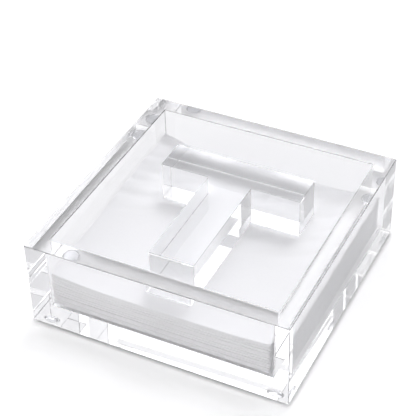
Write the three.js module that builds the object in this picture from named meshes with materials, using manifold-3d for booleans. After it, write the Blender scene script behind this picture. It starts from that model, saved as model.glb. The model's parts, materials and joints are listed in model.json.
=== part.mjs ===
// Open square box of thick clear acrylic, a pile of folded paper napkins in it, and a loose
// T-shaped acrylic bar weight that lies on the pile.
// Millimetres, +Z up, +X to the right, +Y to the back. The origin is on the table, under the
// middle of the box.

import * as THREE from 'three';
import { mergeVertices, toCreasedNormals } from 'three/addons/utils/BufferGeometryUtils.js';
import Module from 'manifold-3d';

// Napkins: square sheets folded in quarters, so each shows two double leaves round one fold.
const NAPKIN_SIDE = 127;
const NAPKIN_COUNT = 12;
const LEAF_THICKNESS = 0.7;
const LEAF_GAP = 0.1;
const NAPKIN_GAP = 0.1;

// Box: the well is the napkin plus a clearance, and the sheet stands round it.
const NAPKIN_CLEARANCE = 1.5;
const WALL_THICKNESS = 10;
const BASE_THICKNESS = 10;
const BOX_HEIGHT = 52;

// Polished arris along every exposed acrylic edge.
const ARRIS = 0.5;

// Feet: clear round bumpers under the corners of the base.
const FOOT_DIAMETER = 9.5;
const FOOT_CONTACT_DIAMETER = 6.5;
const FOOT_HEIGHT = 1.5;
const FOOT_INSET = 9;

// Weight: a crossbar at the back and a stem that runs from it to the front.
const CROSSBAR_LENGTH = 83.5;
const CROSSBAR_DEPTH = 20.5;
const STEM_WIDTH = 26;
const STEM_LENGTH = 69.5;
const STEM_FRONT_GAP = 11.5;
const WEIGHT_HEIGHT = 23.5;
const REST_GAP = 0.3;

// Facets of the round shapes, the angle past which an edge is drawn crisp, and how far a cutting
// block reaches past what it cuts.
const FOOT_SEGMENTS = 32;
const FOOT_EDGE_STEPS = 4;
const FOLD_SEGMENTS = 8;
const CREASE_ANGLE = Math.PI / 12;
const CUT_REACH = 5;

// Places worked out from the sizes above.
const wellSide = NAPKIN_SIDE + 2 * NAPKIN_CLEARANCE;
const boxSide = wellSide + 2 * WALL_THICKNESS;
const napkinThickness = 2 * LEAF_THICKNESS + LEAF_GAP;
const napkinPitch = napkinThickness + NAPKIN_GAP;
const stackTop = BASE_THICKNESS + NAPKIN_COUNT * napkinPitch;
const weightBottom = stackTop + REST_GAP;
const stemFront = STEM_FRONT_GAP - wellSide / 2;
const barJoint = stemFront + STEM_LENGTH;
const crossbarBack = barJoint + CROSSBAR_DEPTH;

const wasm = await Module();
wasm.setup();

// Closed geometry to a solid that can be joined and cut.
function toSolid(geometry) {
  geometry.deleteAttribute('normal');
  geometry.deleteAttribute('uv');
  const merged = mergeVertices(geometry);
  const vertProperties = new Float32Array(merged.attributes.position.array);
  const triVerts = new Uint32Array(merged.index.array);
  return new wasm.Manifold(new wasm.Mesh({ numProp: 3, vertProperties, triVerts }));
}

// Solid back to a geometry with flat faces and crisp edges.
function toGeometry(solid) {
  const { vertProperties, triVerts } = solid.getMesh();
  const geometry = new THREE.BufferGeometry();
  geometry.setAttribute('position', new THREE.BufferAttribute(vertProperties, 3));
  geometry.setIndex(new THREE.BufferAttribute(triVerts, 1));
  return toCreasedNormals(geometry, CREASE_ANGLE);
}

// Plain block between two corners, used to cut the cemented bodies into their sheets and bars.
function cuttingBlock(low, high) {
  const size = new THREE.Vector3().subVectors(high, low);
  const middle = new THREE.Vector3().addVectors(low, high).multiplyScalar(0.5);
  const geometry = new THREE.BoxGeometry(size.x, size.y, size.z);
  geometry.translate(middle.x, middle.y, middle.z);
  return toSolid(geometry);
}

// Block between two corners with an arris on all twelve edges: a rectangle with cut corners,
// extruded upwards with a bevel as wide as the cut.
function polishedBlock(low, high) {
  const outline = new THREE.Shape([
    new THREE.Vector2(low.x + ARRIS, low.y),
    new THREE.Vector2(high.x - ARRIS, low.y),
    new THREE.Vector2(high.x, low.y + ARRIS),
    new THREE.Vector2(high.x, high.y - ARRIS),
    new THREE.Vector2(high.x - ARRIS, high.y),
    new THREE.Vector2(low.x + ARRIS, high.y),
    new THREE.Vector2(low.x, high.y - ARRIS),
    new THREE.Vector2(low.x, low.y + ARRIS),
  ]);
  const geometry = new THREE.ExtrudeGeometry(outline, {
    depth: high.z - low.z - 2 * ARRIS,
    bevelThickness: ARRIS,
    bevelSize: ARRIS,
    bevelOffset: -ARRIS,
    bevelSegments: 1,
  });
  geometry.translate(0, 0, low.z + ARRIS);
  return toSolid(geometry);
}

// Square prism or frustum round the Z axis, from one height and side to another.
function squareFrustum(lowZ, lowSide, highZ, highSide) {
  const corner = Math.SQRT1_2;
  const geometry = new THREE.CylinderGeometry(
    highSide * corner, lowSide * corner, highZ - lowZ, 4, 1, false, Math.PI / 4);
  geometry.rotateX(Math.PI / 2);
  geometry.translate(0, 0, (lowZ + highZ) / 2);
  return toSolid(geometry);
}

// Polished block with the well sunk into it. The mouth is eased by the same arris: it opens at 45
// degrees from one arris below the rim to one above it.
function boxBody() {
  const half = boxSide / 2;
  const flaredSide = wellSide + 2 * (2 * ARRIS);
  const block = polishedBlock(
    new THREE.Vector3(-half, -half, 0), new THREE.Vector3(half, half, BOX_HEIGHT));
  const well = squareFrustum(BASE_THICKNESS, wellSide, BOX_HEIGHT + CUT_REACH, wellSide);
  const mouth = squareFrustum(BOX_HEIGHT - ARRIS, wellSide, BOX_HEIGHT + ARRIS, flaredSide);
  return block.subtract(well).subtract(mouth);
}

// The box body comes apart into the base and the walls that stand on it: front and back run the
// full width, left and right fit between them.
function boxSheets() {
  const body = boxBody();
  const outer = boxSide / 2 + CUT_REACH;
  const inner = wellSide / 2;
  const top = BOX_HEIGHT + CUT_REACH;
  const cut = (x0, y0, z0, x1, y1, z1) => body.intersect(
    cuttingBlock(new THREE.Vector3(x0, y0, z0), new THREE.Vector3(x1, y1, z1)));
  return {
    base_plate: cut(-outer, -outer, -CUT_REACH, outer, outer, BASE_THICKNESS),
    front_wall: cut(-outer, -outer, BASE_THICKNESS, outer, -inner, top),
    back_wall: cut(-outer, inner, BASE_THICKNESS, outer, outer, top),
    left_wall: cut(-outer, -inner, BASE_THICKNESS, -inner, inner, top),
    right_wall: cut(inner, -inner, BASE_THICKNESS, outer, inner, top),
  };
}

// The T comes apart at the cemented joint. The stem reaches past the joint before it is cut, so the
// crossbar has no arris across the joint.
function weightBars() {
  const crossbar = polishedBlock(
    new THREE.Vector3(-CROSSBAR_LENGTH / 2, barJoint, 0),
    new THREE.Vector3(CROSSBAR_LENGTH / 2, crossbarBack, WEIGHT_HEIGHT));
  const stem = polishedBlock(
    new THREE.Vector3(-STEM_WIDTH / 2, stemFront, 0),
    new THREE.Vector3(STEM_WIDTH / 2, barJoint + 2 * ARRIS, WEIGHT_HEIGHT));
  const tee = crossbar.add(stem);
  const reach = Math.max(CROSSBAR_LENGTH, STEM_WIDTH) / 2 + CUT_REACH;
  const behindJoint = cuttingBlock(
    new THREE.Vector3(-reach, barJoint, -CUT_REACH),
    new THREE.Vector3(reach, crossbarBack + CUT_REACH, WEIGHT_HEIGHT + CUT_REACH));
  return {
    weight_crossbar: tee.intersect(behindJoint),
    weight_stem: tee.subtract(behindJoint),
  };
}

// Bumper foot turned round the Z axis, flat on top and where it stands, with a rounded edge.
function footGeometry() {
  const contact = FOOT_CONTACT_DIAMETER / 2;
  const outer = FOOT_DIAMETER / 2;
  const edge = new THREE.EllipseCurve(
    contact, FOOT_HEIGHT, outer - contact, FOOT_HEIGHT, -Math.PI / 2, 0);
  const profile = [
    new THREE.Vector2(0, 0),
    ...edge.getPoints(FOOT_EDGE_STEPS),
    new THREE.Vector2(0, FOOT_HEIGHT),
  ];
  const geometry = new THREE.LatheGeometry(profile, FOOT_SEGMENTS);
  geometry.rotateX(Math.PI / 2);
  return geometry;
}

// Folded napkin: two leaves joined by a half-round fold along the front, open at the back. The
// section lies in the YZ plane and runs along X.
function napkinGeometry() {
  const bend = napkinThickness / 2;
  const section = new THREE.Shape();
  section.moveTo(NAPKIN_SIDE, 0);
  section.lineTo(NAPKIN_SIDE, LEAF_THICKNESS);
  section.lineTo(bend, LEAF_THICKNESS);
  section.absarc(bend, bend, LEAF_GAP / 2, -Math.PI / 2, Math.PI / 2, true);
  section.lineTo(NAPKIN_SIDE, LEAF_THICKNESS + LEAF_GAP);
  section.lineTo(NAPKIN_SIDE, napkinThickness);
  section.lineTo(bend, napkinThickness);
  section.absarc(bend, bend, bend, Math.PI / 2, -Math.PI / 2, false);
  section.closePath();
  const geometry = new THREE.ExtrudeGeometry(section, {
    depth: NAPKIN_SIDE,
    bevelEnabled: false,
    curveSegments: FOLD_SEGMENTS,
  });
  geometry.translate(-NAPKIN_SIDE / 2, 0, -NAPKIN_SIDE / 2);
  geometry.rotateX(Math.PI / 2);
  geometry.rotateZ(Math.PI / 2);
  return geometry;
}

// Finishes, one new material for each piece.
function clearAcrylic() {
  return new THREE.MeshStandardMaterial({
    color: 0xf2f4f8, roughness: 0.04, metalness: 0, transparent: true, opacity: 0.3,
  });
}

function clearBumper() {
  return new THREE.MeshStandardMaterial({
    color: 0xe2e4e8, roughness: 0.3, metalness: 0, transparent: true, opacity: 0.6,
  });
}

function napkinPaper() {
  return new THREE.MeshStandardMaterial({ color: 0xf6f5f4, roughness: 0.9, metalness: 0 });
}

function namedMesh(name, geometry, material) {
  const mesh = new THREE.Mesh(geometry, material);
  mesh.name = name;
  return mesh;
}

function acrylicGroup(solids) {
  const group = new THREE.Group();
  for (const [name, solid] of Object.entries(solids)) {
    group.add(namedMesh(name, toGeometry(solid), clearAcrylic()));
  }
  return group;
}

function feetGroup() {
  const group = new THREE.Group();
  const reach = boxSide / 2 - FOOT_INSET;
  for (const [row, y] of [['front', -reach], ['back', reach]]) {
    for (const [side, x] of [['left', -reach], ['right', reach]]) {
      const foot = namedMesh(`foot_${row}_${side}`, footGeometry(), clearBumper());
      foot.position.set(x, y, 0);
      group.add(foot);
    }
  }
  return group;
}

function napkinGroup() {
  const group = new THREE.Group();
  for (let i = 0; i < NAPKIN_COUNT; i += 1) {
    const name = `napkin_${String(i + 1).padStart(2, '0')}`;
    const napkin = namedMesh(name, napkinGeometry(), napkinPaper());
    napkin.position.z = BASE_THICKNESS + NAPKIN_GAP + i * napkinPitch;
    group.add(napkin);
  }
  return group;
}

// Everything above the feet hangs in one group that stands on them.
const aboveFeet = new THREE.Group();
aboveFeet.position.z = FOOT_HEIGHT;
aboveFeet.add(acrylicGroup(boxSheets()));
aboveFeet.add(napkinGroup());

const weight = acrylicGroup(weightBars());
weight.position.z = weightBottom;
aboveFeet.add(weight);

const napkinHolder = new THREE.Group();
napkinHolder.name = 'napkin_holder';
napkinHolder.add(feetGroup());
napkinHolder.add(aboveFeet);

export default napkinHolder;
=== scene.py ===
"""Looks of an open box of thick clear acrylic, the folded paper napkins in it and the T-shaped clear bar
weight that lies on them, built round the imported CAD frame. Metres, +Z up, +X right, +Y to the back."""

import json
import math

import bpy
import numpy as np
from bpy.props import FloatProperty, FloatVectorProperty, PointerProperty
from mathutils import Matrix, Vector


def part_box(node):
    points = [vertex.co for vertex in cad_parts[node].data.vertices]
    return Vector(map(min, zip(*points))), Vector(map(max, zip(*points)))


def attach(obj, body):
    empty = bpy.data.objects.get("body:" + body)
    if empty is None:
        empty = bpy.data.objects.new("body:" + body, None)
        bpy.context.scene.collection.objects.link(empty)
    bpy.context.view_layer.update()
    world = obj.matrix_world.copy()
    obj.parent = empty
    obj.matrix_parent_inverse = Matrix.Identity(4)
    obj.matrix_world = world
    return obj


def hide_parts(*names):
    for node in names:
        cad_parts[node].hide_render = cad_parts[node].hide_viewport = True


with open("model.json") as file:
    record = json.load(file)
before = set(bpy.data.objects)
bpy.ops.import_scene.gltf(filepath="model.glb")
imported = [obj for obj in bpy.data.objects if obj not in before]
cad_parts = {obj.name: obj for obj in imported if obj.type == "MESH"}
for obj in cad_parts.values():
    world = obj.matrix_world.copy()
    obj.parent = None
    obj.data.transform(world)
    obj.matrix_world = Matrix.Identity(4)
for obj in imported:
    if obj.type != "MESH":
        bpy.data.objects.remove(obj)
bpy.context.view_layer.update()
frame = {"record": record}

bl_info = {
    "name": "Napkin Holder",
    "version": (1, 0, 0),
    "blender": (4, 5, 0),
    "location": "View3D > Sidebar > Napkin Holder",
    "description": "Builds a clear acrylic napkin box, its folded napkins and its T-shaped bar weight",
    "category": "Object",
}

BOX_NODES = ("base_plate", "front_wall", "back_wall", "left_wall", "right_wall")
FOOT_NODES = ("foot_front_left", "foot_front_right", "foot_back_left", "foot_back_right")
WEIGHT_NODES = ("weight_crossbar", "weight_stem")
BODIES = frame["record"]["behaviour"]["bodies"]
NAPKIN_NODES = sorted(BODIES["napkin_stack"] + BODIES["top_napkin"])

# Depth that a foot is sunk into the base: its glue leaves no film of air between the two clear solids.
GLUE_FILM = 0.00003
# A foot's flat underside and the edge of its top, as shares of its radius.
FOOT_FLAT_SHARE = 0.68
FOOT_TOP_SHARE = 0.97
# Rings that close the underside and the top, as a share of the flat's radius and of the foot's.
FOOT_CLOSING_SHARE = 0.5
FOOT_EDGE_POINTS = 10
FOOT_TURN_POINTS = 48
# Points along a napkin's leaf, across it, round its front fold and over its closed left side.
LEAF_ROWS = 65
LEAF_COLUMNS = 61
BEND_POINTS = 11
SIDE_FOLD_POINTS = 6
# Way that the creases run: how far they go back for each metre to the right.
CREASE_SLOPE = 0.5
PILE_SEED = 12
# How strongly clear acrylic and the feet's clear elastomer bend light.
CLEAR_IOR = 1.49
# Place that both lamps look at, in the middle of the pile.
LAMP_AIM = (0.0, 0.0, 0.03)


def node_span(*nodes):
    """Lowest and highest corner that several CAD nodes reach together, as two arrays."""
    corners = np.array([[tuple(corner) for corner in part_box(node)] for node in nodes])
    return corners[:, 0].min(axis=0), corners[:, 1].max(axis=0)


class HolderSizes(bpy.types.PropertyGroup):
    """Sizes that the CAD nodes leave open."""

    arris: FloatProperty(
        name="Arris", description="Radius that the box's edges are polished to",
        default=0.0005, min=0.0001, unit="LENGTH")
    weight_arris: FloatProperty(
        name="Weight arris", description="Radius that the weight's edges are polished to",
        default=0.00022, min=0.0001, unit="LENGTH")
    leaf: FloatProperty(
        name="Napkin leaf", description="Thickness of one leaf of tissue with its air",
        default=0.00028, min=0.0001, unit="LENGTH")
    side_fold: FloatProperty(
        name="Side fold", description="Width over which a pair of leaves closes at the first fold",
        default=0.0006, min=0.0001, unit="LENGTH")
    pile_slide: FloatProperty(
        name="Pile slide", description="How far the pile has slid towards the left wall",
        default=0.0010, min=0.0, unit="LENGTH")
    slip: FloatProperty(
        name="Slip", description="How far a napkin may lie off the middle of the pile",
        default=0.0002, min=0.0, unit="LENGTH")
    twist: FloatProperty(
        name="Twist", description="How far a napkin may be turned in the pile", subtype="ANGLE",
        default=math.radians(0.12))
    leaf_ends: FloatProperty(
        name="Leaf ends", description="How far a leaf's open edges may be drawn back",
        default=0.0007, min=0.0, unit="LENGTH")
    left_lift: FloatVectorProperty(
        name="Left lift", description="Rise of the top napkin's front left and back left corner",
        size=2, default=(0.0026, 0.0070), unit="LENGTH")
    right_lift: FloatVectorProperty(
        name="Right lift", description="Rise of the top napkin's front right and back right corner",
        size=2, default=(0.0020, 0.0022), unit="LENGTH")
    rise_power: FloatProperty(
        name="Rise power", description="Power of a napkin's place in the pile that is its share of the rise",
        default=1.4, min=0.0)
    press_reach: FloatProperty(
        name="Press reach", description="Distance from the weight over which the paper rises",
        default=0.022, min=0.001, unit="LENGTH")
    crease_reach: FloatProperty(
        name="Crease reach", description="Distance from the weight over which the creases start",
        default=0.004, min=0.001, unit="LENGTH")
    crease_fade: FloatProperty(
        name="Crease fade", description="Distance ahead of the crossbar over which the creases fade out",
        default=0.035, min=0.001, unit="LENGTH")
    ripple: FloatProperty(
        name="Ripple", description="Height of the creases that run from the weight to the pile's sides",
        default=0.00045, min=0.0, unit="LENGTH")


class HolderColours(bpy.types.PropertyGroup):
    """Colours of the finishes."""

    acrylic: FloatVectorProperty(
        name="Acrylic", description="Tint of the box's clear acrylic", subtype="COLOR", size=3,
        default=(0.99, 0.99, 0.995), min=0.0, max=1.0)
    thick_acrylic: FloatVectorProperty(
        name="Thick acrylic", description="Tint of the weight's thicker clear acrylic", subtype="COLOR",
        size=3, default=(0.955, 0.957, 0.96), min=0.0, max=1.0)
    bumper: FloatVectorProperty(
        name="Bumper", description="Colour of the clear bumper feet", subtype="COLOR", size=3,
        default=(0.92, 0.925, 0.94), min=0.0, max=1.0)
    tissue: FloatVectorProperty(
        name="Tissue", description="Colour of the napkin paper", subtype="COLOR", size=3,
        default=(0.97, 0.97, 0.98), min=0.0, max=1.0)
    tissue_shade: FloatVectorProperty(
        name="Tissue shade", description="Colour of the thinner, shaded fibres", subtype="COLOR", size=3,
        default=(0.92, 0.92, 0.93), min=0.0, max=1.0)


class HolderStage(bpy.types.PropertyGroup):
    """Camera, floor and light."""

    azimuth: FloatProperty(
        name="Azimuth", description="Way round the object from the front", subtype="ANGLE",
        default=math.radians(27.037))
    elevation: FloatProperty(
        name="Elevation", description="Height of the view above the horizon", subtype="ANGLE",
        default=math.radians(38.708))
    roll: FloatProperty(
        name="Roll", description="Tilt of the camera round its own line of sight", subtype="ANGLE",
        default=math.radians(-1.673))
    eye: FloatVectorProperty(
        name="Eye", description="Place of the camera", subtype="XYZ", size=3,
        default=(0.25098, -0.50213, 0.49865), unit="LENGTH")
    lens: FloatProperty(
        name="Lens", description="Focal length in millimetres", default=115.55, min=1.0)
    floor_side: FloatProperty(
        name="Floor side", description="Side of the square floor", default=60.0, min=1.0, unit="LENGTH")
    floor_colour: FloatVectorProperty(
        name="Floor", description="Colour of the floor", subtype="COLOR", size=3,
        default=(0.80, 0.80, 0.80), min=0.0, max=1.0)
    floor_glow: FloatProperty(
        name="Floor glow", description="Light added to the floor where the eye sees it straight",
        default=0.36, min=0.0)
    # Painted shade: within this distance of the object, the floor that the eye sees straight has its glow and
    # its colour darkened by the share of the space above that the object fills.
    painted_shade_reach: FloatProperty(
        name="Contact reach", description="Distance from the object within which the floor is shaded by it",
        default=0.003, min=0.0, unit="LENGTH")
    floor_glow_through: FloatProperty(
        name="Floor glow through plastic",
        description="Light added to the floor where it shows in clear plastic",
        default=0.17, min=0.0)
    light_colour: FloatVectorProperty(
        name="Light", description="Colour of the studio's light", subtype="COLOR", size=3,
        default=(0.975, 0.975, 1.0), min=0.0, max=1.0)
    key_place: FloatVectorProperty(
        name="Key place", description="Place of the overhead softbox", subtype="XYZ", size=3,
        default=(0.0, 0.82, 1.55), unit="LENGTH")
    key_side: FloatProperty(
        name="Key side", description="Side of the square overhead softbox",
        default=0.8, min=0.1, unit="LENGTH")
    key_power: FloatProperty(
        name="Key power", description="Power of the overhead softbox in watts", default=10.3, min=0.0)
    fill_place: FloatVectorProperty(
        name="Fill place", description="Place of the low softbox in front", subtype="XYZ", size=3,
        default=(-0.35, -1.5, 0.35), unit="LENGTH")
    fill_side: FloatProperty(
        name="Fill side", description="Side of the square softbox in front",
        default=0.9, min=0.1, unit="LENGTH")
    fill_colour: FloatVectorProperty(
        name="Fill", description="Colour of the softbox in front", subtype="COLOR", size=3,
        default=(1.0, 0.975, 0.95), min=0.0, max=1.0)
    fill_power: FloatProperty(
        name="Fill power", description="Power of the softbox in front in watts", default=7.2, min=0.0)
    panel_way: FloatVectorProperty(
        name="Panel way", description="Way to the middle of the bright soft panel behind",
        subtype="DIRECTION", size=3, default=(-0.085, 0.71, 0.69))
    panel_edge: FloatProperty(
        name="Panel edge", description="Angle from the panel's middle to where it has faded out",
        subtype="ANGLE", default=math.radians(41))
    panel: FloatProperty(
        name="Panel", description="Strength of the panel in its middle", default=1.3, min=0.0)
    wash_way: FloatVectorProperty(
        name="Wash way", description="Way to the lighter side of the studio", subtype="DIRECTION", size=3,
        default=(-0.65, -0.14, 0.74))
    wash_edge: FloatProperty(
        name="Wash edge", description="Angle from the lighter side to where it has faded out",
        subtype="ANGLE", default=math.radians(120))
    wash: FloatProperty(
        name="Wash", description="Strength of the studio's lighter side over its dim one",
        default=0.35, min=0.0)
    dim: FloatProperty(
        name="Dim", description="Strength of the studio's dim side", default=0.25, min=0.0)
    skirt: FloatProperty(
        name="Skirt", description="Share of the studio's light that is left just above the floor",
        default=0.1, min=0.0, max=1.0, subtype="FACTOR")
    skirt_low: FloatProperty(
        name="Skirt low", description="Elevation up to which only that share is left", subtype="ANGLE",
        default=math.radians(15))
    skirt_high: FloatProperty(
        name="Skirt high", description="Elevation from which the studio has its whole light", subtype="ANGLE",
        default=math.radians(34))


def grid_faces(rows, columns, round_columns=False):
    """Quads between neighbouring rows and columns of a grid of points that is numbered row by row."""
    last = columns if round_columns else columns - 1
    row, column = np.meshgrid(np.arange(rows - 1), np.arange(last), indexing="ij")
    beside = (column + 1) % columns
    corners = (row * columns + column, row * columns + beside,
               (row + 1) * columns + beside, (row + 1) * columns + column)
    return np.stack(corners, axis=-1).reshape(-1, 4).tolist()


def new_piece(name, points, faces, material, smooth=True):
    """Mesh object at the origin with the points, an array of any shape ending in xyz, and the faces."""
    mesh = bpy.data.meshes.new(name)
    mesh.from_pydata(np.asarray(points, float).reshape(-1, 3).tolist(), [], faces)
    mesh.polygons.foreach_set("use_smooth", np.full(len(mesh.polygons), smooth))
    mesh.materials.append(material)
    if mesh.validate():
        raise RuntimeError(f"{name} has faces that can't be used")
    mesh.update()
    piece = bpy.data.objects.new(name, mesh)
    bpy.context.scene.collection.objects.link(piece)
    return piece


def polish_edges(piece, radius):
    """Rounds every sharp edge to the radius, with the flat faces left flat."""
    bevel = piece.modifiers.new("polished_edges", "BEVEL")
    bevel.width = radius
    bevel.segments = 3
    bevel.limit_method = "ANGLE"
    bevel.angle_limit = math.radians(30)
    bevel.use_clamp_overlap = False
    bevel.harden_normals = True


def square_rings(half_sides, heights):
    """Square rings round the Z axis: ring i has its corners at (+-half_sides[i], +-half_sides[i]) and lies
    at heights[i]. Corners run anticlockwise from the front left."""
    signs = np.array([(-1, -1), (1, -1), (1, 1), (-1, 1)], float)
    flat = np.asarray(half_sides)[:, None, None] * signs
    height = np.broadcast_to(np.asarray(heights)[:, None, None], flat.shape[:2] + (1,))
    return np.concatenate([flat, height], axis=2)


def box_surface():
    """Section of the box carried round its square: up the outside, over the rim, down the inside. The first
    ring is closed as the underside and the last as the floor of the well."""
    low, high = node_span(*BOX_NODES)
    well_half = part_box("right_wall")[0].x
    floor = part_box("base_plate")[1].z
    outer = high[0]
    rings = square_rings((outer, outer, well_half, well_half), (low[2], high[2], high[2], floor))
    count = len(rings)
    faces = grid_faces(count, 4, round_columns=True)
    faces.append([3, 2, 1, 0])
    faces.append([(count - 1) * 4 + corner for corner in range(4)])
    return rings, faces


def tee_surface():
    """Outline of the T, anticlockwise from the stem's front left corner, carried straight up."""
    bar_low, bar_high = node_span("weight_crossbar")
    stem_low, stem_high = node_span("weight_stem")
    outline = np.array([
        (stem_low[0], stem_low[1]), (stem_high[0], stem_low[1]), (stem_high[0], bar_low[1]),
        (bar_high[0], bar_low[1]), (bar_high[0], bar_high[1]), (bar_low[0], bar_high[1]),
        (bar_low[0], bar_low[1]), (stem_low[0], bar_low[1])])
    count = len(outline)
    points = np.empty((2, count, 3))
    points[:, :, :2] = outline
    points[:, :, 2] = np.array([[bar_low[2]], [bar_high[2]]])
    faces = grid_faces(2, count, round_columns=True)
    faces.append(list(range(count - 1, -1, -1)))
    faces.append(list(range(count, 2 * count)))
    return points, faces


def foot_surface(node):
    """Bumper turned round its own axis: the section runs out along the underside, up a quarter ellipse and
    back in along the top. It is sunk a film's thickness into the base, as its glue leaves no air between."""
    low, high = node_span(node)
    centre = (low + high) / 2
    radius = (high[0] - low[0]) / 2
    bottom = low[2] + GLUE_FILM
    top = high[2] + GLUE_FILM
    edge = np.radians(np.linspace(-90, 0, FOOT_EDGE_POINTS))
    flat = FOOT_FLAT_SHARE * radius
    edge_r = flat + (radius - flat) * np.cos(edge)
    edge_z = bottom + (top - bottom) * (1 + np.sin(edge))
    top_r = [FOOT_TOP_SHARE * radius, FOOT_CLOSING_SHARE * radius]
    section_r = np.concatenate([[FOOT_CLOSING_SHARE * flat], edge_r, top_r])
    section_z = np.concatenate([[bottom], edge_z, [top, top]])
    turn = np.linspace(0, 2 * math.pi, FOOT_TURN_POINTS, endpoint=False)
    points = np.empty((len(section_r), len(turn), 3))
    points[:, :, 0] = centre[0] + section_r[:, None] * np.cos(turn)
    points[:, :, 1] = centre[1] + section_r[:, None] * np.sin(turn)
    points[:, :, 2] = section_z[:, None]
    faces = grid_faces(len(section_r), len(turn), round_columns=True)
    faces.append(list(range(len(turn) - 1, -1, -1)))
    faces.append([(len(section_r) - 1) * len(turn) + i for i in range(len(turn))])
    return points, faces


def smooth_step(value):
    """Smooth rise from 0 to 1 as the value goes from 0 to 1."""
    t = np.clip(value, 0, 1)
    return t * t * (3 - 2 * t)


def crease_wave(across, x, height, pitch, lean, start):
    """One row of creases: height * sin(pitch * across + lean * x + start), with the pitch and the lean in
    radians a metre."""
    return height * np.sin(pitch * across + lean * x + start)


def creases(x, y):
    """Three rows of creases over the distance across one diagonal, along which the paper was pulled. The
    longest is bent by a slow wave, and the others lean a little from it. Their sum is raised by their
    heights, so that it never falls below 0."""
    long_height, middle_height, short_height = 0.7, 0.6, 0.35
    across = y - CREASE_SLOPE * x
    slow_bend = crease_wave(across, x, height=1.2, pitch=80, lean=40, start=0)
    longest = crease_wave(across, x, long_height, pitch=300, lean=0, start=slow_bend)
    middle = crease_wave(across, x, middle_height, pitch=520, lean=60, start=2.0)
    shortest = crease_wave(across, x, short_height, pitch=880, lean=-90, start=-1.2)
    return longest + middle + shortest + long_height + middle_height + short_height


def rise_of_top(x, y, half, sizes):
    """Height that the top napkin stands above its flat place. Under the T it is nothing. Away from it the
    paper rises with the cube of the distance from the stem to the pile's side, to a height that goes evenly
    from the side's front corner to its back one. The creases start close to the T and fade out ahead of the
    crossbar."""
    away = np.full(np.broadcast(x, y).shape, np.inf)
    for node in WEIGHT_NODES:
        low, high = node_span(node)
        gap_x = np.maximum(np.maximum(low[0] - x, x - high[0]), 0)
        gap_y = np.maximum(np.maximum(low[1] - y, y - high[1]), 0)
        away = np.minimum(away, np.hypot(gap_x, gap_y))
    stem_half = node_span("weight_stem")[1][0]
    outward = np.clip((np.abs(x) - stem_half) / (half - stem_half), 0, 1)
    back = np.clip((1 + y / half) / 2, 0, 1)
    left = sizes.left_lift[0] + (sizes.left_lift[1] - sizes.left_lift[0]) * back
    right = sizes.right_lift[0] + (sizes.right_lift[1] - sizes.right_lift[0]) * back
    lift = np.where(x < 0, left, right) * outward ** 3
    ahead = node_span("weight_crossbar")[0][1] - y
    crease = sizes.ripple * creases(x, y) * smooth_step(1 - ahead / sizes.crease_fade)
    return smooth_step(away / sizes.press_reach) * lift + smooth_step(away / sizes.crease_reach) * crease


def folded_sheet(low, high, half_gap, edge_gap, ends, sizes):
    """Two leaves and the half-round fold that joins them along the front, as one surface. The section runs
    from the back edge of the lower leaf forward, round the fold and back along the upper leaf. Its half
    height goes from half_gap to edge_gap at the left, on a quarter ellipse, where the sheet was folded
    first."""
    width = high[0] - low[0]
    side_share = sizes.side_fold / width
    leaf = np.linspace(1, 0, LEAF_ROWS)
    bend = np.radians(np.linspace(-90, -270, BEND_POINTS))[1:-1]
    closed_side = np.linspace(0, side_share, SIDE_FOLD_POINTS)[:-1]
    across = np.concatenate([closed_side, np.linspace(side_share, 1, LEAF_COLUMNS)])
    count = 2 * len(leaf) + len(bend)
    turn = np.concatenate([np.full(len(leaf), -1.0), np.sin(bend), np.full(len(leaf), 1.0)])
    ahead = np.concatenate([np.zeros(len(leaf)), np.cos(bend), np.zeros(len(leaf))])
    along = np.concatenate([leaf, np.zeros(len(bend)), leaf[::-1]])
    is_upper = np.arange(count) >= count / 2
    end_x = np.where(is_upper, ends[1, 0], ends[0, 0])[:, None]
    end_y = np.where(is_upper, ends[1, 1], ends[0, 1])
    close = np.clip(1 - across / side_share, 0, 1)
    gap = half_gap + (edge_gap - half_gap) * (1 - np.sqrt(1 - close ** 2))
    fold_y = low[1] + half_gap + sizes.leaf
    half_leaf = sizes.leaf / 2
    points = np.empty((count, len(across), 3))
    points[:, :, 0] = low[0] + half_leaf + (width - half_leaf - end_x) * across
    points[:, :, 1] = (fold_y + along * (high[1] - end_y - fold_y))[:, None] + ahead[:, None] * gap
    points[:, :, 2] = (low[2] + high[2]) / 2 + turn[:, None] * gap
    return points


def napkin_surface(node, share, generator, sizes):
    """Quarter-folded napkin: an outer and an inner folded sheet, nested round one fold. The whole napkin is
    slipped and turned a little in its plane, and takes its share of the top napkin's rise."""
    low, high = node_span(node)
    pitch = (high[2] - low[2] - sizes.leaf) / 3
    half_leaf = sizes.leaf / 2
    slip = generator.uniform(-1, 1, 2) * sizes.slip
    turn = generator.uniform(-1, 1) * sizes.twist
    ends = generator.uniform(0.0, sizes.leaf_ends, (2, 2, 2))
    inner_low = low + np.array([0, pitch, 0])
    outer = folded_sheet(low, high, 1.5 * pitch, pitch + half_leaf, ends[0], sizes)
    inner = folded_sheet(inner_low, high, 0.5 * pitch, pitch - half_leaf, ends[1], sizes)
    points = np.stack([outer, inner])
    x, y = points[..., 0].copy(), points[..., 1].copy()
    points[..., 0] = slip[0] - sizes.pile_slide + x * math.cos(turn) - y * math.sin(turn)
    points[..., 1] = slip[1] + x * math.sin(turn) + y * math.cos(turn)
    points[..., 2] += share * rise_of_top(points[..., 0], points[..., 1], high[0], sizes)
    rows, columns = points.shape[1:3]
    faces = grid_faces(rows, columns)
    faces += (np.array(faces) + rows * columns).tolist()
    return points, faces


def group_socket(tree, name, direction, kind, value=None):
    """Named socket on a node group's outside."""
    socket = tree.interface.new_socket(name, in_out=direction, socket_type=kind)
    if value is not None:
        socket.default_value = value


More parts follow.
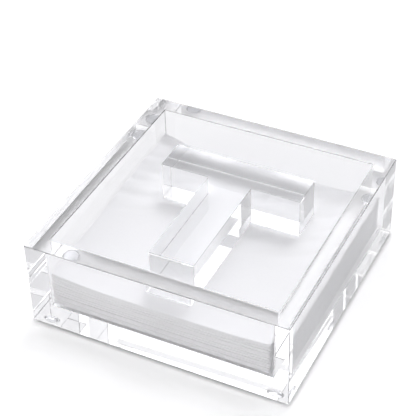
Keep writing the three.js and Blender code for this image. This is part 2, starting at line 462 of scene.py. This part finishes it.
def polish_haze_group():
    """Faint unevenness of polished plastic: a roughness that wanders between two values, and a low, wide
    height for the polish's own waves."""
    tree = bpy.data.node_groups.new("polish_haze", "ShaderNodeTree")
    group_socket(tree, "Wave size", "INPUT", "NodeSocketFloat", 60.0)
    group_socket(tree, "Smooth", "INPUT", "NodeSocketFloat", 0.0)
    group_socket(tree, "Hazy", "INPUT", "NodeSocketFloat", 0.03)
    group_socket(tree, "Roughness", "OUTPUT", "NodeSocketFloat")
    group_socket(tree, "Height", "OUTPUT", "NodeSocketFloat")
    node, link = tree.nodes.new, tree.links.new
    inside, outside = node("NodeGroupInput"), node("NodeGroupOutput")
    place = node("ShaderNodeTexCoord")
    smear = node("ShaderNodeTexNoise")
    smear.inputs["Scale"].default_value = 45.0
    smear.inputs["Detail"].default_value = 4.0
    wave = node("ShaderNodeTexNoise")
    wave.inputs["Detail"].default_value = 1.0
    spread = node("ShaderNodeMapRange")
    spread.inputs["From Min"].default_value = 0.45
    spread.inputs["From Max"].default_value = 0.75
    link(place.outputs["Object"], smear.inputs["Vector"])
    link(place.outputs["Object"], wave.inputs["Vector"])
    link(inside.outputs["Wave size"], wave.inputs["Scale"])
    link(smear.outputs["Fac"], spread.inputs["Value"])
    link(inside.outputs["Smooth"], spread.inputs["To Min"])
    link(inside.outputs["Hazy"], spread.inputs["To Max"])
    link(spread.outputs["Result"], outside.inputs["Roughness"])
    link(wave.outputs["Fac"], outside.inputs["Height"])
    return tree


def tissue_group():
    """Soft tissue: two colours mixed by cloudy fibre, and a height of fine fibre over rows of pressed
    dots."""
    tree = bpy.data.node_groups.new("tissue", "ShaderNodeTree")
    group_socket(tree, "Paper", "INPUT", "NodeSocketColor", (0.9, 0.9, 0.9, 1))
    group_socket(tree, "Shade", "INPUT", "NodeSocketColor", (0.8, 0.8, 0.8, 1))
    group_socket(tree, "Dots", "INPUT", "NodeSocketFloat", 0.5)
    group_socket(tree, "Colour", "OUTPUT", "NodeSocketColor")
    group_socket(tree, "Height", "OUTPUT", "NodeSocketFloat")
    node, link = tree.nodes.new, tree.links.new
    inside, outside = node("NodeGroupInput"), node("NodeGroupOutput")
    place = node("ShaderNodeTexCoord")
    cloud = node("ShaderNodeTexNoise")
    cloud.inputs["Scale"].default_value = 900.0
    cloud.inputs["Detail"].default_value = 6.0
    fibre = node("ShaderNodeTexNoise")
    fibre.inputs["Scale"].default_value = 3200.0
    fibre.inputs["Detail"].default_value = 3.0
    fibre.inputs["Distortion"].default_value = 1.5
    dots = node("ShaderNodeTexVoronoi")
    dots.inputs["Scale"].default_value = 620.0
    dots.inputs["Randomness"].default_value = 0.0
    colour = node("ShaderNodeMix")
    colour.data_type = "RGBA"
    pressed = node("ShaderNodeMath")
    pressed.operation = "MULTIPLY_ADD"
    link(place.outputs["Object"], cloud.inputs["Vector"])
    link(place.outputs["Object"], fibre.inputs["Vector"])
    link(place.outputs["Object"], dots.inputs["Vector"])
    link(cloud.outputs["Fac"], colour.inputs["Factor"])
    link(inside.outputs["Paper"], colour.inputs["A"])
    link(inside.outputs["Shade"], colour.inputs["B"])
    link(dots.outputs["Distance"], pressed.inputs[0])
    link(inside.outputs["Dots"], pressed.inputs[1])
    link(fibre.outputs["Fac"], pressed.inputs[2])
    link(colour.outputs["Result"], outside.inputs["Colour"])
    link(pressed.outputs["Value"], outside.inputs["Height"])
    return tree


def effect_group(name, make):
    """Node group of that name, made the first time it is asked for."""
    return bpy.data.node_groups.get(name) or make()


def new_material(name):
    """Empty node material with its Principled shader."""
    material = bpy.data.materials.new(name)
    material.use_nodes = True
    return material, material.node_tree, material.node_tree.nodes["Principled BSDF"]


def use_group(tree, group):
    """The node group placed in a material's tree."""
    holder = tree.nodes.new("ShaderNodeGroup")
    holder.node_tree = group
    return holder


def bump_into(tree, shader, height, strength, distance):
    """Height of an effect as the shader's normal."""
    bump = tree.nodes.new("ShaderNodeBump")
    bump.inputs["Strength"].default_value = strength
    bump.inputs["Distance"].default_value = distance
    tree.links.new(height, bump.inputs["Height"])
    tree.links.new(bump.outputs["Normal"], shader.inputs["Normal"])


def acrylic_material(name, colour, hazy):
    """Polished clear acrylic, which bends light as such plastic does, with a faint uneven haze."""
    material, tree, shader = new_material(name)
    shader.inputs["Base Color"].default_value = (*colour, 1)
    shader.inputs["Transmission Weight"].default_value = 1.0
    shader.inputs["IOR"].default_value = CLEAR_IOR
    haze = use_group(tree, effect_group("polish_haze", polish_haze_group))
    haze.inputs["Hazy"].default_value = hazy
    tree.links.new(haze.outputs["Roughness"], shader.inputs["Roughness"])
    bump_into(tree, shader, haze.outputs["Height"], strength=0.01, distance=0.0001)
    return material


def bumper_material(name, colour):
    """Clear elastomer of the stick-on feet, a little cloudy."""
    material, tree, shader = new_material(name)
    shader.inputs["Base Color"].default_value = (*colour, 1)
    shader.inputs["Transmission Weight"].default_value = 0.95
    shader.inputs["IOR"].default_value = CLEAR_IOR
    haze = use_group(tree, effect_group("polish_haze", polish_haze_group))
    haze.inputs["Smooth"].default_value = 0.03
    haze.inputs["Hazy"].default_value = 0.12
    haze.inputs["Wave size"].default_value = 700.0
    tree.links.new(haze.outputs["Roughness"], shader.inputs["Roughness"])
    bump_into(tree, shader, haze.outputs["Height"], strength=0.2, distance=0.0001)
    return material


def tissue_material(name, colours, dots):
    """Soft white napkin paper with pressed dots and loose fibre."""
    material, tree, shader = new_material(name)
    tissue = use_group(tree, effect_group("tissue", tissue_group))
    tissue.inputs["Paper"].default_value = (*colours.tissue, 1)
    tissue.inputs["Shade"].default_value = (*colours.tissue_shade, 1)
    tissue.inputs["Dots"].default_value = dots
    tree.links.new(tissue.outputs["Colour"], shader.inputs["Base Color"])
    shader.inputs["Roughness"].default_value = 0.9
    shader.inputs["Specular IOR Level"].default_value = 0.15
    shader.inputs["Sheen Weight"].default_value = 0.15
    shader.inputs["Sheen Roughness"].default_value = 0.6
    bump_into(tree, shader, tissue.outputs["Height"], strength=0.25, distance=0.0001)
    return material


def settle(piece, body, slot, *nodes):
    """The piece stands for the CAD nodes and moves with the body. The slot is not used."""
    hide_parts(*nodes)
    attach(piece, body)


class HOLDER_OT_box(bpy.types.Operator):
    """Make the clear box: base and four walls cemented and polished as one"""

    bl_idname = "napkin_holder.box"
    bl_label = "Acrylic Box"

    def execute(self, context):
        sizes, colours = context.scene.holder_sizes, context.scene.holder_colours
        material = acrylic_material("polished_box_acrylic", colours.acrylic, hazy=0.02)
        piece = new_piece("acrylic_box", *box_surface(), material)
        polish_edges(piece, sizes.arris)
        settle(piece, "box", "box_acrylic", *BOX_NODES)
        return {"FINISHED"}


class HOLDER_OT_feet(bpy.types.Operator):
    """Make the four clear bumper feet"""

    bl_idname = "napkin_holder.feet"
    bl_label = "Bumper Feet"

    def execute(self, context):
        material = bumper_material("cloudy_bumper", context.scene.holder_colours.bumper)
        for node in FOOT_NODES:
            piece = new_piece(node.replace("foot", "bumper"), *foot_surface(node), material)
            settle(piece, "box", "foot_bumper", node)
        return {"FINISHED"}


class HOLDER_OT_napkins(bpy.types.Operator):
    """Make the pile of quarter-folded napkins"""

    bl_idname = "napkin_holder.napkins"
    bl_label = "Napkins"

    def execute(self, context):
        sizes, colours = context.scene.holder_sizes, context.scene.holder_colours
        material = tissue_material("soft_napkin_tissue", colours, dots=0.6)
        generator = np.random.default_rng(PILE_SEED)
        for i, node in enumerate(NAPKIN_NODES):
            share = ((i + 1) / len(NAPKIN_NODES)) ** sizes.rise_power
            piece = new_piece(f"folded_{node}", *napkin_surface(node, share, generator, sizes), material)
            sheet = piece.modifiers.new("tissue_thickness", "SOLIDIFY")
            sheet.thickness = sizes.leaf
            sheet.offset = 0.0
            body = "top_napkin" if node in BODIES["top_napkin"] else "napkin_stack"
            settle(piece, body, "napkin_paper", node)
        return {"FINISHED"}


class HOLDER_OT_weight(bpy.types.Operator):
    """Make the T-shaped weight: crossbar and stem cemented and polished as one"""

    bl_idname = "napkin_holder.weight"
    bl_label = "T Weight"

    def execute(self, context):
        sizes, colours = context.scene.holder_sizes, context.scene.holder_colours
        material = acrylic_material("polished_weight_acrylic", colours.thick_acrylic, hazy=0.015)
        piece = new_piece("acrylic_tee_weight", *tee_surface(), material)
        polish_edges(piece, sizes.weight_arris)
        settle(piece, "weight", "weight_acrylic", *WEIGHT_NODES)
        return {"FINISHED"}


def math_node(tree, operation, first, second):
    """Result of a math operation on two values, each a socket or a plain number."""
    node = tree.nodes.new("ShaderNodeMath")
    node.operation = operation
    for socket, value in zip(node.inputs, (first, second)):
        if isinstance(value, (int, float)):
            socket.default_value = value
        else:
            tree.links.new(value, socket)
    return node.outputs["Value"]


def shown_background(tree):
    """Two masks: 1 for a ray that the eye follows straight, mirrored or through clear plastic before it meets
    a matt surface, and 1 for the straight one only."""
    path = tree.nodes.new("ShaderNodeLightPath")
    straight = path.outputs["Is Camera Ray"]
    mirrored = math_node(tree, "MAXIMUM", straight, path.outputs["Is Glossy Ray"])
    seen = math_node(tree, "MAXIMUM", mirrored, path.outputs["Is Transmission Ray"])
    before_matt = math_node(tree, "LESS_THAN", path.outputs["Diffuse Depth"], 0.5)
    return math_node(tree, "MULTIPLY", seen, before_matt), straight


def make_camera(stage):
    """Camera at the photograph's angle: turned round Z, tilted down, then rolled."""
    data = bpy.data.cameras.new("photo_camera")
    data.lens = stage.lens
    data.sensor_width = 36.0
    camera = bpy.data.objects.new("photo_camera", data)
    bpy.context.scene.collection.objects.link(camera)
    turn = Matrix.Rotation(stage.azimuth, 4, "Z")
    tilt = Matrix.Rotation(math.pi / 2 - stage.elevation, 4, "X")
    roll = Matrix.Rotation(stage.roll, 4, "Z")
    camera.matrix_world = Matrix.Translation(Vector(stage.eye)) @ turn @ tilt @ roll
    bpy.context.scene.camera = camera


def make_floor(stage):
    """Plain pale floor under the feet, lifted to white where the eye sees it and still taking shadow. Where
    it is seen straight close to the object, it also has painted shade: its glow and its colour are darkened
    by the share of the space over it that the object fills."""
    material, tree, shader = new_material("pale_floor")
    link = tree.links.new
    shader.inputs["Roughness"].default_value = 0.9
    shader.inputs["Specular IOR Level"].default_value = 0.0
    shader.inputs["Emission Color"].default_value = (1, 1, 1, 1)
    seen, straight = shown_background(tree)
    # Painted shade: ambient occlusion within the reach gives the share of the space above that stays open,
    # and it scales the glow seen straight.
    nearby = tree.nodes.new("ShaderNodeAmbientOcclusion")
    nearby.inputs["Distance"].default_value = stage.painted_shade_reach
    open_share = nearby.outputs["AO"]
    amount = tree.nodes.new("ShaderNodeMapRange")
    amount.inputs["To Min"].default_value = stage.floor_glow_through
    link(straight, amount.inputs["Value"])
    link(math_node(tree, "MULTIPLY", open_share, stage.floor_glow), amount.inputs["To Max"])
    glow = math_node(tree, "MULTIPLY", seen, amount.outputs["Result"])
    link(glow, shader.inputs["Emission Strength"])
    # Painted contact shadow: seen straight, the floor's colour goes towards black by the share that the
    # object fills.
    painted_shade_share = math_node(tree, "SUBTRACT", 1.0, open_share)
    shaded = tree.nodes.new("ShaderNodeMix")
    shaded.data_type = "RGBA"
    shaded.inputs["A"].default_value = (*stage.floor_colour, 1)
    shaded.inputs["B"].default_value = (0, 0, 0, 1)
    link(math_node(tree, "MULTIPLY", painted_shade_share, straight), shaded.inputs["Factor"])
    link(shaded.outputs["Result"], shader.inputs["Base Color"])
    half = stage.floor_side / 2
    corners = square_rings((half,), (0.0,))
    floor = new_piece("pale_floor", corners, [[0, 1, 2, 3]], material, smooth=False)


def make_softbox(name, place, side, power, colour):
    """Square lamp that looks at the pile and is not seen by the camera itself."""
    data = bpy.data.lights.new(name, "AREA")
    data.shape = "SQUARE"
    data.size = side
    data.energy = power
    data.color = colour
    lamp = bpy.data.objects.new(name, data)
    bpy.context.scene.collection.objects.link(lamp)
    lamp.location = place
    lamp.rotation_euler = (Vector(LAMP_AIM) - Vector(place)).to_track_quat("-Z", "Y").to_euler()
    lamp.visible_camera = False


def soft_patch(tree, toward, edge, strength):
    """Value that is the strength in the way of toward and fades smoothly to nothing at the edge's angle from
    it."""
    node, link = tree.nodes.new, tree.links.new
    way = node("ShaderNodeTexCoord")
    facing = node("ShaderNodeVectorMath")
    facing.operation = "DOT_PRODUCT"
    facing.inputs[1].default_value = Vector(toward).normalized()
    fade = node("ShaderNodeMapRange")
    fade.interpolation_type = "SMOOTHSTEP"
    fade.inputs["From Min"].default_value = math.cos(edge)
    fade.inputs["From Max"].default_value = 1.0
    fade.inputs["To Max"].default_value = strength
    link(way.outputs["Generated"], facing.inputs[0])
    link(facing.outputs["Value"], fade.inputs["Value"])
    return fade.outputs["Result"]


def floor_skirt(tree, stage):
    """Value that is the skirt's share near the floor and goes smoothly to 1 between its two elevations."""
    node, link = tree.nodes.new, tree.links.new
    way = node("ShaderNodeTexCoord")
    parts = node("ShaderNodeSeparateXYZ")
    fade = node("ShaderNodeMapRange")
    fade.interpolation_type = "SMOOTHSTEP"
    fade.inputs["From Min"].default_value = math.sin(stage.skirt_low)
    fade.inputs["From Max"].default_value = math.sin(stage.skirt_high)
    fade.inputs["To Min"].default_value = stage.skirt
    link(way.outputs["Generated"], parts.inputs["Vector"])
    link(parts.outputs["Z"], fade.inputs["Value"])
    return fade.outputs["Result"]


def make_light(stage):
    """Overhead softbox, a low one in front, and a dim world with a lighter side, a soft panel behind and a
    darker skirt above the floor."""
    make_softbox("overhead_softbox", stage.key_place, stage.key_side, stage.key_power, stage.light_colour)
    make_softbox("front_softbox", stage.fill_place, stage.fill_side, stage.fill_power, stage.fill_colour)
    world = bpy.data.worlds.new("studio")
    world.use_nodes = True
    bpy.context.scene.world = world
    tree = world.node_tree
    background = tree.nodes["Background"]
    background.inputs["Color"].default_value = (*stage.light_colour, 1)
    panel = soft_patch(tree, stage.panel_way, stage.panel_edge, stage.panel)
    wash = soft_patch(tree, stage.wash_way, stage.wash_edge, stage.wash)
    room = math_node(tree, "ADD", wash, stage.dim)
    total = math_node(tree, "ADD", panel, room)
    skirted = math_node(tree, "MULTIPLY", total, floor_skirt(tree, stage))
    tree.links.new(skirted, background.inputs["Strength"])


class HOLDER_OT_stage(bpy.types.Operator):
    """Set the camera, the pale floor and the soft studio light"""

    bl_idname = "napkin_holder.stage"
    bl_label = "Stage"

    def execute(self, context):
        stage = context.scene.holder_stage
        make_camera(stage)
        make_floor(stage)
        make_light(stage)
        context.scene.view_settings.view_transform = "Standard"
        # Enough bounces for a ray that crosses many clear faces, and no blur on it after a matt one.
        context.scene.cycles.max_bounces = 32
        context.scene.cycles.transmission_bounces = 32
        context.scene.cycles.glossy_bounces = 24
        context.scene.cycles.blur_glossy = 0.0
        return {"FINISHED"}


class HOLDER_PT_panel(bpy.types.Panel):
    """Lists the pieces of the napkin holder and their sizes and colours"""

    bl_idname = "HOLDER_PT_panel"
    bl_label = "Napkin Holder"
    bl_space_type = "VIEW_3D"
    bl_region_type = "UI"
    bl_category = "Napkin Holder"

    def draw(self, context):
        for operator in OPERATORS:
            self.layout.operator(operator.bl_idname)
        for group in GROUPS:
            settings = getattr(context.scene, group)
            column = self.layout.column(align=True)
            for name in settings.__annotations__:
                column.prop(settings, name)


OPERATORS = (HOLDER_OT_stage, HOLDER_OT_box, HOLDER_OT_feet, HOLDER_OT_napkins, HOLDER_OT_weight)
GROUPS = {"holder_sizes": HolderSizes, "holder_colours": HolderColours, "holder_stage": HolderStage}
CLASSES = (*GROUPS.values(), *OPERATORS, HOLDER_PT_panel)


def register():
    """Make the operators, the panel and the settings known to Blender."""
    for cls in CLASSES:
        bpy.utils.register_class(cls)
    for name, group in GROUPS.items():
        setattr(bpy.types.Scene, name, PointerProperty(type=group))


def unregister():
    """Take the settings, the panel and the operators out of Blender again."""
    for name in GROUPS:
        delattr(bpy.types.Scene, name)
    for cls in reversed(CLASSES):
        bpy.utils.unregister_class(cls)


def main():
    """Build the stage and every piece in order."""
    register()
    bpy.ops.napkin_holder.stage()
    bpy.ops.napkin_holder.box()
    bpy.ops.napkin_holder.feet()
    bpy.ops.napkin_holder.napkins()
    bpy.ops.napkin_holder.weight()


if __name__ == "__main__":
    main()
